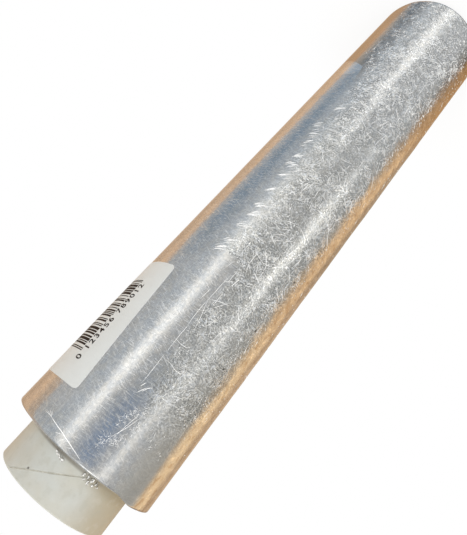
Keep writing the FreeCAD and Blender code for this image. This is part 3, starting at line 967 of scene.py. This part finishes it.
def make_floor():
    """A plain pale floor that shows white and keeps the roll's shadow."""
    bm = bmesh.new()
    bmesh.ops.create_grid(bm, x_segments=1, y_segments=1, size=4)
    floor = bpy.data.objects.new("floor", mesh_from(bm, "floor"))
    bpy.context.collection.objects.link(floor)
    finish = new_finish("floor")
    seen = finish.value("ShaderNodeLightPath", None, None, "Is Camera Ray")
    glow = finish.node("ShaderNodeEmission", None, {"Color": (1, 1, 1, 1), "Strength": 1.0})
    plain = finish.node("ShaderNodeBsdfDiffuse", None, {"Color": (0.94, 0.94, 0.94, 1)})
    x, y, _ = finish.parts(finish.place())
    by_roll, clear_of_roll = 0.034, 0.1
    away = ((x * x + y * y) ** 0.5).ramp(by_roll, clear_of_roll)
    both = finish.node("ShaderNodeMixShader", None,
                       {0: seen * (0.86 + away * 0.14), 1: plain.outputs[0], 2: glow.outputs[0]})
    finish.node("ShaderNodeOutputMaterial", None, {"Surface": both.outputs[0]})
    floor.data.materials.append(finish.owner)
    floor.visible_glossy = False
    floor.visible_shadow = False


def soft_lights(azimuth, rise):
    """Three tall lights that the film shows as streaks, and one over the rim, each a strength."""
    key = ((azimuth + 58.0) / (9.0 + rise.ramp(-20, -28) * 6.5)).bell(0.0, 1.0)
    key = key * (0.55 + rise.ramp(-40, -12) * 1.4)
    key = key * rise.ramp(-50, -36) * (1 - rise.ramp(-6, 8) * 0.3)
    at_rim = rise.ramp(-8, 5)
    second = (azimuth + 134.0 - rise * 0.15 - at_rim * 7.0).bell(0.0, 7.0)
    second = second * rise.ramp(-49, -38) * (0.8 + rise.bell(-28.5, 9.0) * 1.75 + at_rim * 0.3)
    third = azimuth + 110.0 + rise * 0.6 + rise.ramp(-55, -60) * 8.0
    third = (third / (8.0 + rise.ramp(-52, -58) * 4.0)).bell(0.0, 1.0)
    third = third * (rise.ramp(-37, -42) * 0.75 + rise.ramp(-46, -54) * 1.7)
    third = third * (1 - rise.ramp(-56, -59) * 0.4)
    rim_light = azimuth.bell(-110.0, 22.0) * rise.bell(48.0, 18.0) * 2.4
    return key, second, third, rim_light


def warm_boards(finish, behind, rise):
    """The tan boards at both sides: how much of them shows, and their colour."""
    left_end = (82.5 - rise * 0.53).math("MINIMUM", 92.0)
    right_end = (-81.6 - rise * 0.48).math("MINIMUM", -68.0)
    left = behind.ramp(8, 28) * (left_end - behind).ramp(-3, 3)
    right = behind.ramp(-8, -28) * (behind - right_end).ramp(-3, 3)
    by_edge = behind.ramp(70, 82) * rise.ramp(-22, -8)
    far_left = finish.mix(rise.ramp(-20, -30), (0.75, 0.5, 0.3, 1), (0.55, 0.37, 0.22, 1))
    near_left = finish.mix(rise.ramp(-22, -8), (1.3, 0.84, 0.44, 1), (1.6, 1.14, 0.67, 1))
    near_left = finish.mix(by_edge, near_left, (1.0, 0.77, 0.53, 1))
    left_board = finish.layers(far_left, [
        (behind.ramp(44, 61), near_left),
        (behind.ramp(70, 92), (0.7, 0.56, 0.41, 1))])
    right_board = finish.layers((0.77, 0.52, 0.325, 1), [
        (behind.ramp(-38, -60), (1.16, 0.775, 0.475, 1)),
        (behind.ramp(-62, -76), (0.9, 0.66, 0.46, 1))])
    low = rise.ramp(-44, -52) * (0.3 + behind.ramp(-1, 1) * 0.62)
    colour = finish.mix(behind.ramp(-1, 1), right_board, left_board)
    colour = finish.mix(low, colour, (0.62, 0.33, 0.12, 1))
    return (left + right) * rise.ramp(60, 25), colour


def make_world():
    """White studio that the film mirrors: soft lights, cool dark flags and warm boards.

    Directions are an azimuth from +X towards +Y and an elevation, in degrees. For the boards
    behind, the azimuth is taken from +Y instead, above 0 towards -X.
    """
    world = bpy.data.worlds.new("studio")
    bpy.context.scene.world = world
    finish = Finish(world)
    x, y, z = finish.parts(finish.value("ShaderNodeTexCoord", None, None, "Generated"))
    azimuth = y.math("ARCTAN2", x) * (180 / math.pi)
    behind = (x * -1.0).math("ARCTAN2", y) * (180 / math.pi)
    rise = z.math("ARCSINE") * (180 / math.pi)

    key, second, third, rim_light = soft_lights(azimuth, rise)
    cool = azimuth.bell(-36.0, 15.0) * 0.8
    by_lights = second * 0.4 + key * 0.3 + third * 0.35
    between_lights = azimuth.bell(-118.0, 11.0) * rise.bell(-31.0, 13.0) * 0.35
    shade = behind.bell(107.0, 13.0) * rise.ramp(-8, -22) * 0.3
    low_flag = behind.bell(-93.0, 18.0) * rise.ramp(-12, -28) * 0.85
    flag = azimuth.bell(-94.0, 15.0) * rise.bell(5.0, 10.0) * 0.85
    flag_colour = finish.mix(rise.ramp(3, -5), (0.26, 0.4, 0.64, 1), (0.33, 0.38, 0.38, 1))
    notch = behind.bell(92.0, 14.0) * rise.ramp(-22, 0) * 0.55
    dark_corner = behind.bell(93.0, 16.0) * rise.ramp(-50, -57) * 0.95
    colour = finish.mix(rise.ramp(-34, -48), (0.765, 0.765, 0.75, 1), (0.765, 0.785, 0.79, 1))
    colour = finish.layers(colour, [
        (cool, (0.79, 0.85, 0.9, 1)),
        (by_lights, (0.79, 0.765, 0.72, 1)),
        (between_lights, (0.42, 0.42, 0.4, 1)),
        (low_flag + shade, (0.28, 0.41, 0.55, 1)),
        (flag, flag_colour),
        warm_boards(finish, behind, rise),
        (notch, (0.47, 0.45, 0.41, 1)),
        (dark_corner, (0.19, 0.15, 0.12, 1))])
    strength = 1.0 + key + second + third + rim_light
    lit = finish.node("ShaderNodeBackground", None, {"Color": colour, "Strength": strength})
    plain = finish.node("ShaderNodeBackground", None, {"Color": (1, 1, 1, 1), "Strength": 1.0})
    path = finish.node("ShaderNodeLightPath")
    mixed = finish.node("ShaderNodeMixShader", None,
                        {0: path.outputs["Is Camera Ray"], 1: lit.outputs[0], 2: plain.outputs[0]})
    finish.node("ShaderNodeOutputWorld", None, {"Surface": mixed.outputs[0]})


def make_lamp():
    """One large soft lamp above the camera, for the paper and the shadow on the floor."""
    data = bpy.data.lights.new("soft_lamp", "AREA")
    data.shape = "RECTANGLE"
    data.size, data.size_y = 1.2, 1.2
    data.energy = 9.0
    lamp = bpy.data.objects.new("soft_lamp", data)
    place = Vector((-0.6, -1.0, 1.4))
    lamp.matrix_world = (Matrix.Translation(place)
                         @ (-place).to_track_quat("-Z", "Y").to_matrix().to_4x4())
    lamp.visible_glossy = False
    bpy.context.collection.objects.link(lamp)


def make_camera():
    data = bpy.data.cameras.new("camera")
    data.lens = 28.0
    data.sensor_width = 36.0
    data.clip_start = 0.01
    camera = bpy.data.objects.new("camera", data)
    bpy.context.collection.objects.link(camera)
    look = (CAMERA_AIM - CAMERA_PLACE).to_track_quat("-Z", "Y").to_matrix()
    turned = look @ Matrix.Rotation(-CAMERA_ROLL, 3, "Z")
    camera.matrix_world = Matrix.Translation(CAMERA_PLACE) @ turned.to_4x4()
    bpy.context.scene.camera = camera


make_camera()
make_world()
make_lamp()
make_floor()
bpy.context.scene.view_settings.view_transform = "Standard"

for node, finish in (("core_tube", core_finish()), ("barcode_label", label_finish())):
    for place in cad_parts[node].material_slots:
        place.material = finish
make_wound_film()
make_loose_film()
make_creases()
make_edge_folds()
make_rim_folds()
make_core_scraps()
make_label_print()
